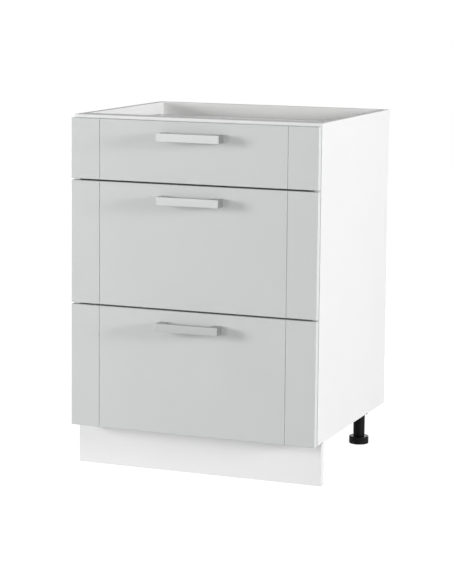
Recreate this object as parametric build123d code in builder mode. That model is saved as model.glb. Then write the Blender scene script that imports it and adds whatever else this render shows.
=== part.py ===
from build123d import *
import os
from math import sqrt

os.makedirs("parts", exist_ok=True)

# Kitchen base cabinet with three drawers on roller runners, on adjustable legs behind a plinth.
# X runs to the right, Y to the rear and Z up, in millimetres.
# The origin is on the floor, under the middle of the cabinet with its handles.

# Whole cabinet
CABINET_WIDTH = 600.0
CABINET_DEPTH = 520.0  # from the faces of the drawer fronts to the rear edges
CABINET_HEIGHT = 820.0
LEG_HEIGHT = 100.0  # from the floor to the underside of the carcass

# Boards and the joints between them
BOARD = 16.0
HARDBOARD = 3.0
EDGE_CHAMFER = 0.8
GROOVE_DEPTH = 8.0
GROOVE_CLEARANCE = 0.25
DOWEL_DIAMETER = 8.0
DOWEL_IN_EDGE = 20.0
DOWEL_IN_FACE = 10.0
DOWEL_CLEARANCE = 0.05
BORE_END_PLAY = 0.5
CAM_DIAMETER = 15.0
CAM_DEPTH = 12.5
CAM_INSET = 24.0  # from the joint to the axis of the cam
CAM_CLEARANCE = 0.1
CAM_BOLT_THREAD = 5.0
CAM_BOLT_SHANK = 6.0
CAM_BOLT_HEAD = 7.0
CAM_BOLT_HEAD_LENGTH = 4.0
CAM_BOLT_CLEARANCE = 0.3
SCREW_DIAMETER = 3.5
SCREW_LENGTH = 13.0
SCREW_HEAD = 6.5
SCREW_HEAD_HEIGHT = 1.5
SCREW_CLEARANCE = 0.05
HIDDEN_SIDES = 6  # of hidden bores and the fasteners in them; small turned pieces have more
PIN_SIDES = 8
TURNED_SIDES = 12
STEM_SIDES = 24

# Rails under the worktop
FRONT_RAIL_DEPTH = 50.0
REAR_RAIL_HEIGHT = 100.0
WORKTOP_HOLE = 5.0
WORKTOP_HOLE_SPACING = 440.0
WALL_HOLE = 8.0
WALL_HOLE_SPACING = 440.0
WALL_HOLE_DROP = 50.0  # below the top of the cabinet
RAIL_DOWEL_INSET = 12.0
RAIL_CAM_INSET = 16.0
REAR_RAIL_DOWEL_DROP = 25.0
REAR_RAIL_CAM_DROP = 75.0
BOTTOM_DOWEL_FRONT = 40.0
BOTTOM_DOWEL_REAR = 60.0
BOTTOM_CAM_INSET = 190.0  # from the front of the carcass

# Legs, feet and plinth
LEG_SIDE_INSET = 54.0
LEG_REAR_INSET = 27.0
SOCKET_WIDTH = 50.0
SOCKET_CORNER = 6.0
SOCKET_PLATE = 3.0
PEG_SPACING = 34.0
PEG_DIAMETER = 10.0
PEG_LENGTH = 11.0
SLEEVE_DIAMETER = 44.0
SLEEVE_LENGTH = 22.5
SLEEVE_TAPER = 2.0
STEM_DIAMETER = 28.0
STEM_CLEARANCE = 0.05
SPINDLE_DIAMETER = 14.0
SPINDLE_LENGTH = 45.0
SPINDLE_CLEARANCE = 0.1
FOOT_DIAMETER = 48.0
FOOT_HEIGHT = 18.0
FOOT_RIM = 1.0
PLINTH_SETBACK = 46.5  # behind the faces of the fronts
PLINTH_FLOOR_GAP = 1.0
PLINTH_TOP_GAP = 2.0
CLIP_REACH = 25.5  # from the rear of the plinth to the axis of a front leg
CLIP_WIDTH = 44.0
CLIP_HEIGHT = 22.0
CLIP_LIFT = 42.0
CLIP_WALL = 2.5
CLIP_NECK = 14.0
CLIP_JAW_LENGTH = 6.0  # how far the jaw reaches past the axis of the leg
CLIP_CLEARANCE = 0.1
CLIP_SCREW_SPACING = 32.0

# Drawer fronts and handles
FRONT_STANDOFF = 2.0  # between a front and the carcass
FRONT_REVEAL = 1.5  # carcass that shows beside a front
FRONT_GAP = 4.0
FRONT_DROP = 1.0  # how far the lowest front hangs below the carcass
TOP_REVEAL = 7.0  # carcass that shows above the highest front
TOP_FRONT = 139.0
GROOVE_LINE_INSET = 71.0
GROOVE_LINE_WIDTH = 2.4
GROOVE_LINE_DEPTH = 1.6
HANDLE_LENGTH = 150.0
HANDLE_HEIGHT = 18.5
HANDLE_PROJECTION = 30.0
HANDLE_BAR = 8.0
HANDLE_LEG = 20.0
HANDLE_DROP = 34.5  # from the top of a front to the middle of its handle
HANDLE_PITCH = 128.0
HANDLE_OUTER_RADIUS = 2.0
HANDLE_INNER_RADIUS = 5.0
HANDLE_SCREW = 4.0
HANDLE_SCREW_HEAD = 8.0
HANDLE_SCREW_HEAD_HEIGHT = 2.6
HANDLE_SCREW_REACH = 11.0
HANDLE_SCREW_CLEARANCE = 0.5

# Drawer boxes
RUNNER_SPACE = 12.5  # between a side panel and a drawer side
DRAWER_LIFT = 30.0  # from the bottom of a front to the bottom of its box
DEEP_HEADROOM = 53.5  # from the top of a deep box to the top of its front
RAIL_CLEARANCE = 10.0  # between the shallow box and the front rail
DRAWER_BOTTOM_RISE = 10.0
DRAWER_DOWEL_INSET = 25.0

# Roller runners
RUNNER_STEEL = 1.2
RUNNER_BACK_GAP = 31.0  # from the cabinet runners to the back panel
RUNNER_SETBACK = 2.0
TRACK_DROP = 1.0  # from the bottom of a drawer side to the track under its rear roller
TRACK_REACH = 10.4
LIP_REACH = 9.0
LIP_GAP = 0.6
LIP_SETBACK = 40.0  # open length at the front, where the drawer is lifted in
RUNNING_FLANGE_TIP = 3.4  # from the side panel
SEAT_FLANGE = 14.0
ROLLER_DIAMETER = 18.0
ROLLER_WIDTH = 6.0
ROLLER_OFFSET = 4.0  # from the side panel
ROLLER_GAP = 0.3
AXLE_DIAMETER = 5.0
AXLE_CLEARANCE = 0.1
AXLE_END_PLAY = 0.1
AXLE_SHOULDER = 8.0
AXLE_HEAD = 7.5
AXLE_HEAD_LENGTH = 0.7
FRONT_AXLE_INSET = 14.0
REAR_AXLE_OVERHANG = 11.0
REAR_ROLLER_LEAD = 13.0  # from the rear axle to the end of the cabinet runner
RUNNER_TAIL = 10.0  # drawer runner behind its rear axle
RUNNER_OVERLAP = 110.0  # length of the runners still together when a drawer is fully open
STOP_HEIGHT = 5.0
RUNNER_SCREW_INSET = 37.0
RUNNER_SCREW_PITCH = 256.0
SEAT_SCREW_INSET = 5.0  # from the outer face of a drawer side
SEAT_SCREW_FRONT = 60.0
SEAT_SCREW_PITCH = 288.0

# Places worked out from the sizes
SCREW_BORE = SCREW_DIAMETER + 2 * SCREW_CLEARANCE
INNER_HALF = CABINET_WIDTH / 2 - BOARD
CARCASS_HEIGHT = CABINET_HEIGHT - LEG_HEIGHT
FRONT_FACE_Y = (HANDLE_PROJECTION - CABINET_DEPTH) / 2
FRONT_REAR_Y = FRONT_FACE_Y + BOARD
CARCASS_FRONT_Y = FRONT_REAR_Y + FRONT_STANDOFF
REAR_Y = FRONT_FACE_Y + CABINET_DEPTH
CARCASS_DEPTH = REAR_Y - CARCASS_FRONT_Y
CARCASS_MIDDLE_Y = (REAR_Y + CARCASS_FRONT_Y) / 2
BACK_MIDDLE_Y = REAR_Y - BOARD - HARDBOARD / 2
GROOVE_WIDTH = HARDBOARD + 2 * GROOVE_CLEARANCE
RAIL_UNDERSIDE = CABINET_HEIGHT - BOARD
REAR_RAIL_Y = REAR_Y - BOARD / 2
WALL_HOLE_Z = CABINET_HEIGHT - WALL_HOLE_DROP
BOTTOM_EDGE_Z = LEG_HEIGHT + BOARD / 2
RAIL_EDGE_Z = CABINET_HEIGHT - BOARD / 2

PLINTH_FRONT_Y = FRONT_FACE_Y + PLINTH_SETBACK
PLINTH_REAR_Y = PLINTH_FRONT_Y + BOARD
PLINTH_HEIGHT = LEG_HEIGHT - PLINTH_TOP_GAP - PLINTH_FLOOR_GAP
LEG_X = CABINET_WIDTH / 2 - LEG_SIDE_INSET
FRONT_LEG_Y = PLINTH_REAR_Y + CLIP_REACH
REAR_LEG_Y = REAR_Y - LEG_REAR_INSET
SOCKET_Z = LEG_HEIGHT - SOCKET_PLATE
CLIP_MIDDLE_Z = CLIP_LIFT + CLIP_HEIGHT / 2

FRONT_WIDTH = CABINET_WIDTH - 2 * FRONT_REVEAL
FRONT_BOTTOM_Z = LEG_HEIGHT - FRONT_DROP
FRONT_TOP_Z = CABINET_HEIGHT - TOP_REVEAL
DEEP_FRONT = (FRONT_TOP_Z - FRONT_BOTTOM_Z - TOP_FRONT - 2 * FRONT_GAP) / 2
DEEP_SIDE = DEEP_FRONT - DRAWER_LIFT - DEEP_HEADROOM
TOP_SIDE = RAIL_UNDERSIDE - RAIL_CLEARANCE - (FRONT_TOP_Z - TOP_FRONT + DRAWER_LIFT)
DRAWER_HALF = INNER_HALF - RUNNER_SPACE
DRAWER_INNER_HALF = DRAWER_HALF - BOARD

RUNNER_FRONT_Y = CARCASS_FRONT_Y + RUNNER_SETBACK
RUNNER_REAR_Y = BACK_MIDDLE_Y - HARDBOARD / 2 - RUNNER_BACK_GAP
RUNNER_LENGTH = RUNNER_REAR_Y - RUNNER_FRONT_Y
DRAWER_TRAVEL = RUNNER_LENGTH - RUNNER_OVERLAP
FRONT_AXLE_Y = RUNNER_FRONT_Y + FRONT_AXLE_INSET
REAR_AXLE_Y = RUNNER_REAR_Y - REAR_ROLLER_LEAD
DRAWER_REAR_Y = REAR_AXLE_Y - REAR_AXLE_OVERHANG
DRAWER_BACK_Y = DRAWER_REAR_Y - BOARD / 2
DRAWER_LENGTH = DRAWER_REAR_Y - FRONT_REAR_Y
DRAWER_RUNNER_FRONT_Y = FRONT_REAR_Y + RUNNER_SETBACK
DRAWER_RUNNER_REAR_Y = REAR_AXLE_Y + RUNNER_TAIL
AXLE_LIFT = ROLLER_GAP + ROLLER_DIAMETER / 2  # all lifts are above the track
FLANGE_LIFT = ROLLER_DIAMETER + 2 * ROLLER_GAP
LIP_LIFT = FLANGE_LIFT + RUNNER_STEEL + LIP_GAP
AXLE_JOURNAL = ROLLER_WIDTH + 2 * AXLE_END_PLAY
DRAWER_FLANGE = RUNNER_SPACE - RUNNER_STEEL  # outer face of the drawer runner, from the side panel
STOP_CHORD = sqrt((ROLLER_DIAMETER / 2) ** 2 - (AXLE_LIFT - STOP_HEIGHT) ** 2)
STOP_Y = REAR_AXLE_Y - DRAWER_TRAVEL - STOP_CHORD - ROLLER_GAP

# Name, bottom of the front, height of the front and height of the box sides
DRAWERS = (
    ("bottom", FRONT_BOTTOM_Z, DEEP_FRONT, DEEP_SIDE),
    ("middle", FRONT_BOTTOM_Z + DEEP_FRONT + FRONT_GAP, DEEP_FRONT, DEEP_SIDE),
    ("top", FRONT_TOP_Z - TOP_FRONT, TOP_FRONT, TOP_SIDE),
)

LEGS = {
    "front_left": (-LEG_X, FRONT_LEG_Y),
    "front_right": (LEG_X, FRONT_LEG_Y),
    "rear_left": (-LEG_X, REAR_LEG_Y),
    "rear_right": (LEG_X, REAR_LEG_Y),
}

RIGHT = (1, 0, 0)
LEFT = (-1, 0, 0)
FORWARD = (0, -1, 0)
BACKWARD = (0, 1, 0)
UP = (0, 0, 1)
DOWN = (0, 0, -1)


def save(piece, label):
    """Name a finished piece and write its file."""
    piece.part.label = label
    export_step(piece.part, f"parts/{label}.step")


def save_pair(right_piece, left_label, right_label):
    """Write a right-hand piece and its mirror image."""
    save(right_piece, right_label)
    with BuildPart() as left_piece:
        mirror(right_piece.part, about=Plane.YZ)
    save(left_piece, left_label)


def planes(points, normal):
    """Planes at the given points that all face one way, turned alike for mating pieces."""
    across = RIGHT if normal[0] == 0 else BACKWARD
    return [Plane(origin=point, x_dir=across, z_dir=normal) for point in points]


def add_prisms(points, outward, diameter, length, sides=HIDDEN_SIDES, mode=Mode.ADD):
    """Set prisms of the given diameter on the piece being built, from the points outward."""
    for plane in planes(points, outward):
        with BuildSketch(plane) as section:
            RegularPolygon(diameter / 2, sides)
        extrude(section.sketch, amount=length, mode=mode)


def drill(points, outward, diameter, depth, sides=HIDDEN_SIDES):
    """Cut hidden bores into the piece being built, from a face that looks outward."""
    add_prisms(points, outward, diameter, -depth, sides, Mode.SUBTRACT)


def drill_round(points, outward, diameter, depth):
    """Bore round holes that show, from a face that looks outward."""
    with Locations(*planes(points, outward)):
        Hole(diameter / 2, depth)


def add_dowels(points, into_face):
    """Set dowels across a joint, the short end in the face of a board, the long end in an edge."""
    add_prisms(points, into_face, DOWEL_DIAMETER - 2 * DOWEL_CLEARANCE, DOWEL_IN_FACE)
    add_prisms(points, into_face, DOWEL_DIAMETER - 2 * DOWEL_CLEARANCE, -DOWEL_IN_EDGE)


def add_screws(points, outward):
    """Set board screws with their heads on the given points."""
    add_prisms(points, outward, SCREW_HEAD, SCREW_HEAD_HEIGHT)
    add_prisms(points, outward, SCREW_DIAMETER, -SCREW_LENGTH)


def from_wall(distance):
    """X of a place that lies this far from the inner face of the right side panel."""
    return INNER_HALF - distance


def track_height(front_bottom):
    """Height of the track that carries a drawer's rear rollers."""
    return front_bottom + DRAWER_LIFT - TRACK_DROP


def peg_points():
    """Places of the two pegs in opposite corners of each leg socket."""
    half = PEG_SPACING / 2
    return [(x + step, y + step, LEG_HEIGHT) for x, y in LEGS.values() for step in (-half, half)]


def clip_screw_points(y):
    """Places of the two screws of each plinth clip, at the given depth."""
    half = CLIP_SCREW_SPACING / 2
    return [(leg_x + x, y, CLIP_MIDDLE_Z) for leg_x in (-LEG_X, LEG_X) for x in (-half, half)]


def runner_screw_points(front_bottom, distance):
    """Places of a cabinet runner's screws, at the given distance from the right side panel."""
    first = CARCASS_FRONT_Y + RUNNER_SCREW_INSET
    z = track_height(front_bottom) + AXLE_LIFT
    return [(from_wall(distance), y, z) for y in (first, first + RUNNER_SCREW_PITCH)]


def seat_screw_points(front_bottom, drop):
    """Places of a right drawer runner's screws, this far below the bottom of the drawer side."""
    first = FRONT_REAR_Y + SEAT_SCREW_FRONT
    z = front_bottom + DRAWER_LIFT - drop
    return [(DRAWER_HALF - SEAT_SCREW_INSET, y, z) for y in (first, first + SEAT_SCREW_PITCH)]


def handle_points(front_bottom, front_height, y):
    """Places of the two handle screws, at the given depth."""
    z = front_bottom + front_height - HANDLE_DROP
    return [(x, y, z) for x in (-HANDLE_PITCH / 2, HANDLE_PITCH / 2)]


def drawer_dowel_heights(front_bottom, side_height):
    """Heights of the dowels in each corner of a drawer box."""
    box_bottom = front_bottom + DRAWER_LIFT
    return (box_bottom + DRAWER_DOWEL_INSET, box_bottom + side_height - DRAWER_DOWEL_INSET)


# Joints of the carcass on its right side: where dowels and cam bolts enter the side panel
BOTTOM_DOWELS = [
    (INNER_HALF, CARCASS_FRONT_Y + BOTTOM_DOWEL_FRONT, BOTTOM_EDGE_Z),
    (INNER_HALF, REAR_Y - BOTTOM_DOWEL_REAR, BOTTOM_EDGE_Z),
]
FRONT_RAIL_DOWELS = [(INNER_HALF, CARCASS_FRONT_Y + RAIL_DOWEL_INSET, RAIL_EDGE_Z)]
REAR_RAIL_DOWELS = [(INNER_HALF, REAR_RAIL_Y, CABINET_HEIGHT - REAR_RAIL_DOWEL_DROP)]
CARCASS_DOWELS = BOTTOM_DOWELS + FRONT_RAIL_DOWELS + REAR_RAIL_DOWELS

BOTTOM_BOLTS = [(INNER_HALF, CARCASS_FRONT_Y + BOTTOM_CAM_INSET, BOTTOM_EDGE_Z)]
FRONT_RAIL_BOLTS = [(INNER_HALF, CARCASS_FRONT_Y + FRONT_RAIL_DEPTH - RAIL_CAM_INSET, RAIL_EDGE_Z)]
REAR_RAIL_BOLTS = [(INNER_HALF, REAR_RAIL_Y, CABINET_HEIGHT - REAR_RAIL_CAM_DROP)]
CAM_BOLTS = BOTTOM_BOLTS + FRONT_RAIL_BOLTS + REAR_RAIL_BOLTS

CAM_BOLT_REACH = CAM_INSET + CAM_BOLT_HEAD_LENGTH / 2
CAM_BORE = CAM_BOLT_HEAD + 2 * CAM_BOLT_CLEARANCE


def cam_faces(bolts, outward):
    """Places on a board's face over the cams that hold the given bolts."""
    step = BOARD / 2 * Vector(outward)
    return [Vector(x - CAM_INSET, y, z) + step for x, y, z in bolts]


def drill_right_end(dowels, bolts, cam_side):
    """Bore the right end of a board for its dowels, cam bolts and cams."""
    drill(dowels, RIGHT, DOWEL_DIAMETER, DOWEL_IN_EDGE + BORE_END_PLAY)
    drill(bolts, RIGHT, CAM_BORE, CAM_BOLT_REACH + BORE_END_PLAY)
    cam_recess = CAM_DIAMETER + 2 * CAM_CLEARANCE
    drill(cam_faces(bolts, cam_side), cam_side, cam_recess, CAM_DEPTH, TURNED_SIDES)


# Side panels, grooved for the back and drilled for the joints and runners
with BuildPart() as side_panel:
    with BuildSketch(Plane.XY.offset(LEG_HEIGHT)):
        with Locations((INNER_HALF + BOARD / 2, CARCASS_MIDDLE_Y)):
            Rectangle(BOARD, CARCASS_DEPTH)
    extrude(amount=CARCASS_HEIGHT)
    chamfer(side_panel.edges().filter_by(Axis.Z).group_by(Axis.Y)[0], EDGE_CHAMFER)
    with BuildSketch(Plane.XY.offset(LEG_HEIGHT)):
        with Locations((INNER_HALF + GROOVE_DEPTH / 2, BACK_MIDDLE_Y)):
            Rectangle(GROOVE_DEPTH, GROOVE_WIDTH)
    extrude(amount=CARCASS_HEIGHT, mode=Mode.SUBTRACT)
    drill(CARCASS_DOWELS, LEFT, DOWEL_DIAMETER, DOWEL_IN_FACE + BORE_END_PLAY)
    drill(CAM_BOLTS, LEFT, CAM_BOLT_THREAD + 2 * SCREW_CLEARANCE, DOWEL_IN_FACE + BORE_END_PLAY)
    for name, front_bottom, front_height, side_height in DRAWERS:
        screw_points = runner_screw_points(front_bottom, 0)
        drill(screw_points, LEFT, SCREW_BORE, SCREW_LENGTH)
save_pair(side_panel, "left_side_panel", "right_side_panel")

# Bottom panel between the sides, grooved for the back and bored for the pegs of the leg sockets
with BuildPart() as bottom_panel:
    with BuildSketch(Plane.XY.offset(LEG_HEIGHT)):
        with Locations((0, CARCASS_MIDDLE_Y)):
            Rectangle(INNER_HALF, CARCASS_DEPTH, align=(Align.MIN, Align.CENTER))
    extrude(amount=BOARD)
    chamfer(bottom_panel.edges().filter_by(Axis.X).group_by(Axis.Y)[0], EDGE_CHAMFER)
    with BuildSketch(Plane.XY.offset(LEG_HEIGHT + BOARD)):
        with Locations((0, BACK_MIDDLE_Y)):
            Rectangle(INNER_HALF, GROOVE_WIDTH, align=(Align.MIN, Align.CENTER))
    extrude(amount=-GROOVE_DEPTH, mode=Mode.SUBTRACT)
    drill_right_end(BOTTOM_DOWELS, BOTTOM_BOLTS, DOWN)
    mirror(about=Plane.YZ)
    drill(peg_points(), DOWN, PEG_DIAMETER, PEG_LENGTH + BORE_END_PLAY)
save(bottom_panel, "bottom_panel")

# Back panel of hardboard, slid down into the grooves in front of the rear rail
BACK_FOOT = LEG_HEIGHT + BOARD - GROOVE_DEPTH + GROOVE_CLEARANCE
WALL_HOLES = [(x, REAR_Y, WALL_HOLE_Z) for x in (-WALL_HOLE_SPACING / 2, WALL_HOLE_SPACING / 2)]
with BuildPart() as back_panel:
    with BuildSketch(Plane.XY.offset(BACK_FOOT)):
        with Locations((0, BACK_MIDDLE_Y)):
            Rectangle(2 * (INNER_HALF + GROOVE_DEPTH - GROOVE_CLEARANCE), HARDBOARD)
    extrude(amount=CABINET_HEIGHT - BACK_FOOT)
    drill_round(WALL_HOLES, BACKWARD, WALL_HOLE, BOARD + HARDBOARD)
save(back_panel, "back_panel")

# Front rail, laid flat, with holes for the screws that hold the worktop
with BuildPart() as front_rail:
    with BuildSketch(Plane.XY.offset(RAIL_UNDERSIDE)):
        with Locations((0, CARCASS_FRONT_Y)):
            Rectangle(INNER_HALF, FRONT_RAIL_DEPTH, align=(Align.MIN, Align.MIN))
    extrude(amount=BOARD)
    chamfer(front_rail.edges().filter_by(Axis.X).group_by(Axis.Y)[0], EDGE_CHAMFER)
    drill_right_end(FRONT_RAIL_DOWELS, FRONT_RAIL_BOLTS, DOWN)
    worktop_hole = (WORKTOP_HOLE_SPACING / 2, CARCASS_FRONT_Y + FRONT_RAIL_DEPTH / 2, CABINET_HEIGHT)
    drill_round([worktop_hole], UP, WORKTOP_HOLE, BOARD)
    mirror(about=Plane.YZ)
save(front_rail, "front_rail")

# Rear rail, on edge behind the back panel, with holes for the wall screws
with BuildPart() as rear_rail:
    with BuildSketch(Plane.XY.offset(CABINET_HEIGHT - REAR_RAIL_HEIGHT)):
        with Locations((0, REAR_RAIL_Y)):
            Rectangle(INNER_HALF, BOARD, align=(Align.MIN, Align.CENTER))
    extrude(amount=REAR_RAIL_HEIGHT)
    drill_right_end(REAR_RAIL_DOWELS, REAR_RAIL_BOLTS, BACKWARD)
    drill_round(WALL_HOLES[1:], BACKWARD, WALL_HOLE, BOARD)
    mirror(about=Plane.YZ)
save(rear_rail, "rear_rail")

# Dowels, cam bolts and cam locks that hold the carcass together
with BuildPart() as carcass_dowels:
    add_dowels(CARCASS_DOWELS, RIGHT)
    mirror(about=Plane.YZ)
save(carcass_dowels, "carcass_dowels")

with BuildPart() as cam_bolts:
    add_prisms(CAM_BOLTS, RIGHT, CAM_BOLT_THREAD, DOWEL_IN_FACE)
    add_prisms(CAM_BOLTS, LEFT, CAM_BOLT_SHANK, CAM_BOLT_REACH)
    bolt_tips = [(x - CAM_BOLT_REACH, y, z) for x, y, z in CAM_BOLTS]
    add_prisms(bolt_tips, RIGHT, CAM_BOLT_HEAD, CAM_BOLT_HEAD_LENGTH)
    mirror(about=Plane.YZ)
save(cam_bolts, "cam_bolts")

with BuildPart() as cam_locks:
    for bolts, cam_side in ((BOTTOM_BOLTS + FRONT_RAIL_BOLTS, DOWN), (REAR_RAIL_BOLTS, BACKWARD)):
        add_prisms(cam_faces(bolts, cam_side), cam_side, CAM_DIAMETER, -CAM_DEPTH, TURNED_SIDES)
    drill(CAM_BOLTS, RIGHT, CAM_BORE, CAM_BOLT_REACH + BORE_END_PLAY)
    mirror(about=Plane.YZ)
save(cam_locks, "cam_locks")

# Leg sockets: a plate with two pegs pressed into the bottom panel, and a tapered sleeve for the stem
with BuildPart() as leg_sockets:
    with BuildSketch(Plane.XY.offset(SOCKET_Z)) as plates:
        with Locations(*LEGS.values()):
            Rectangle(SOCKET_WIDTH, SOCKET_WIDTH)
        chamfer(plates.vertices(), SOCKET_CORNER)
    extrude(amount=SOCKET_PLATE)
    with BuildSketch(Plane.XY.offset(SOCKET_Z)):
        with Locations(*LEGS.values()):
            RegularPolygon(SLEEVE_DIAMETER / 2, TURNED_SIDES)
    extrude(amount=-SLEEVE_LENGTH, taper=SLEEVE_TAPER)
    with BuildSketch(Plane.XY.offset(SOCKET_Z)):
        with Locations(*LEGS.values()):
            RegularPolygon(STEM_DIAMETER / 2 + STEM_CLEARANCE, TURNED_SIDES, major_radius=False)
    extrude(amount=-SLEEVE_LENGTH, mode=Mode.SUBTRACT)
    add_prisms(peg_points(), UP, PEG_DIAMETER - 2 * DOWEL_CLEARANCE, PEG_LENGTH)
save(leg_sockets, "leg_sockets")

# Leg stems: tubes pushed into the sockets, bored for the spindles of the feet
with BuildPart() as leg_stems:
    with BuildSketch(Plane.XY.offset(FOOT_HEIGHT)):
        with Locations(*LEGS.values()):
            RegularPolygon(STEM_DIAMETER / 2, STEM_SIDES)
    extrude(amount=SOCKET_Z - FOOT_HEIGHT)
    stem_ends = [(x, y, FOOT_HEIGHT) for x, y in LEGS.values()]
    drill(stem_ends, DOWN, SPINDLE_DIAMETER + 2 * SPINDLE_CLEARANCE, SPINDLE_LENGTH + BORE_END_PLAY)
save(leg_stems, "leg_stems")

# Feet: a disc with a sloped rim on a spindle that turns in and out of the stem
for corner, leg in LEGS.items():
    with BuildPart() as foot:
        with BuildSketch():
            with Locations(leg):
                RegularPolygon(FOOT_DIAMETER / 2, STEM_SIDES)
        extrude(amount=FOOT_HEIGHT)
        chamfer(foot.edges().group_by(Axis.Z)[-1], FOOT_RIM)
        add_prisms([(*leg, FOOT_HEIGHT)], UP, SPINDLE_DIAMETER, SPINDLE_LENGTH)
    save(foot, f"{corner}_foot")

# Plinth, held by clips that snap on the stems of the front legs
with BuildPart() as plinth_board:
    with BuildSketch(Plane.XY.offset(PLINTH_FLOOR_GAP)):
        with Locations((0, PLINTH_FRONT_Y)):
            Rectangle(CABINET_WIDTH, BOARD, align=(Align.CENTER, Align.MIN))
    extrude(amount=PLINTH_HEIGHT)
    chamfer(plinth_board.edges().group_by(Axis.Y)[0], EDGE_CHAMFER)
    drill(clip_screw_points(PLINTH_REAR_Y), BACKWARD, SCREW_BORE, SCREW_LENGTH)
save(plinth_board, "plinth_board")

CLIP_INNER = STEM_DIAMETER / 2 + CLIP_CLEARANCE
with BuildPart() as plinth_clips:
    with BuildSketch(Plane.XY.offset(CLIP_LIFT)):
        with Locations((LEG_X, PLINTH_REAR_Y)):
            Rectangle(CLIP_WIDTH, CLIP_WALL, align=(Align.CENTER, Align.MIN))
            Rectangle(CLIP_NECK, CLIP_REACH, align=(Align.CENTER, Align.MIN))
        with Locations((LEG_X, FRONT_LEG_Y)):
            RegularPolygon(CLIP_INNER + CLIP_WALL, STEM_SIDES)
            RegularPolygon(CLIP_INNER, STEM_SIDES, major_radius=False, mode=Mode.SUBTRACT)
        with Locations((LEG_X, FRONT_LEG_Y + CLIP_JAW_LENGTH)):
            mouth = (Align.CENTER, Align.MIN)
            Rectangle(CLIP_WIDTH, STEM_DIAMETER, align=mouth, mode=Mode.SUBTRACT)
    extrude(amount=CLIP_HEIGHT)
    mirror(about=Plane.YZ)
    drill(clip_screw_points(PLINTH_REAR_Y + CLIP_WALL), BACKWARD, SCREW_BORE, CLIP_WALL)
save(plinth_clips, "plinth_clips")


def add_axle(base, direction, shoulder):
    """Stake a stepped axle on the runner being built: a shoulder, a journal and a head."""
    steps = (
        (AXLE_SHOULDER, shoulder, PIN_SIDES),
        (AXLE_DIAMETER, AXLE_JOURNAL, TURNED_SIDES),
        (AXLE_HEAD, AXLE_HEAD_LENGTH, PIN_SIDES),
    )
    start = Vector(base)
    for diameter, length, sides in steps:
        add_prisms([start], direction, diameter, length, sides)
        start += length * Vector(direction)


def make_rollers(label, y, front_bottom):
    """A left and a right roller on one axis."""
    with BuildPart() as rollers:
        with BuildSketch(Plane.YZ.offset(from_wall(ROLLER_OFFSET + ROLLER_WIDTH))):
            with Locations((y, track_height(front_bottom) + AXLE_LIFT)):
                Circle(ROLLER_DIAMETER / 2)
                bore_radius = AXLE_DIAMETER / 2 + AXLE_CLEARANCE
                RegularPolygon(bore_radius, TURNED_SIDES, major_radius=False, mode=Mode.SUBTRACT)
        extrude(amount=ROLLER_WIDTH)
        mirror(about=Plane.YZ)
    save(rollers, label)


# Runners and rollers of each drawer
for name, front_bottom, front_height, side_height in DRAWERS:
    track = track_height(front_bottom)
    box_bottom = front_bottom + DRAWER_LIFT

    # Cabinet runner: a bent channel with a track, a lip, a stop and the axle of the front roller
    with BuildPart() as cabinet_runner:
        with BuildSketch(Plane.XZ.offset(-RUNNER_REAR_Y)):
            with BuildLine():
                Polyline(
                    (from_wall(TRACK_REACH), track - RUNNER_STEEL),
                    (from_wall(0), track - RUNNER_STEEL),
                    (from_wall(0), track + LIP_LIFT + RUNNER_STEEL),
                    (from_wall(LIP_REACH), track + LIP_LIFT + RUNNER_STEEL),
                )
                offset(amount=RUNNER_STEEL, side=Side.LEFT, kind=Kind.INTERSECTION)
            make_face()
        extrude(amount=RUNNER_LENGTH)
        with BuildSketch(Plane.XY.offset(track + FLANGE_LIFT)):
            with Locations((from_wall(RUNNER_STEEL), RUNNER_FRONT_Y)):
                Rectangle(LIP_REACH, LIP_SETBACK, align=(Align.MAX, Align.MIN))
        extrude(amount=LIP_LIFT, mode=Mode.SUBTRACT)
        with BuildSketch(Plane.XY.offset(track)):
            with Locations((from_wall(ROLLER_OFFSET), STOP_Y)):
                Rectangle(ROLLER_WIDTH, RUNNER_STEEL, align=(Align.MAX, Align.MAX))
        extrude(amount=STOP_HEIGHT)
        front_axle_base = (from_wall(RUNNER_STEEL), FRONT_AXLE_Y, track + AXLE_LIFT)
        add_axle(front_axle_base, LEFT, ROLLER_OFFSET - AXLE_END_PLAY - RUNNER_STEEL)
        screw_points = runner_screw_points(front_bottom, RUNNER_STEEL)
        drill(screw_points, LEFT, SCREW_BORE, RUNNER_STEEL)
    save_pair(cabinet_runner, f"{name}_left_cabinet_runner", f"{name}_right_cabinet_runner")

    # Drawer runner: a bent strip under the drawer side, with a running flange and the rear axle
    with BuildPart() as drawer_runner:
        with BuildSketch(Plane.XZ.offset(-DRAWER_RUNNER_REAR_Y)):
            with BuildLine():
                Polyline(
                    (from_wall(RUNNING_FLANGE_TIP), track + FLANGE_LIFT + RUNNER_STEEL),
                    (DRAWER_HALF, track + FLANGE_LIFT + RUNNER_STEEL),
                    (DRAWER_HALF, box_bottom),
                    (DRAWER_HALF - SEAT_FLANGE, box_bottom),
                )
                offset(amount=RUNNER_STEEL, side=Side.LEFT, kind=Kind.INTERSECTION)
            make_face()
        extrude(amount=DRAWER_RUNNER_REAR_Y - DRAWER_RUNNER_FRONT_Y)
        rear_axle_base = (from_wall(DRAWER_FLANGE), REAR_AXLE_Y, track + AXLE_LIFT)
        add_axle(rear_axle_base, RIGHT, DRAWER_FLANGE - ROLLER_OFFSET - ROLLER_WIDTH - AXLE_END_PLAY)
        screw_points = seat_screw_points(front_bottom, RUNNER_STEEL)
        drill(screw_points, DOWN, SCREW_BORE, RUNNER_STEEL)
    save_pair(drawer_runner, f"{name}_drawer_left_runner", f"{name}_drawer_right_runner")

    make_rollers(f"{name}_front_rollers", FRONT_AXLE_Y, front_bottom)
    make_rollers(f"{name}_rear_rollers", REAR_AXLE_Y, front_bottom)

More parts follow.
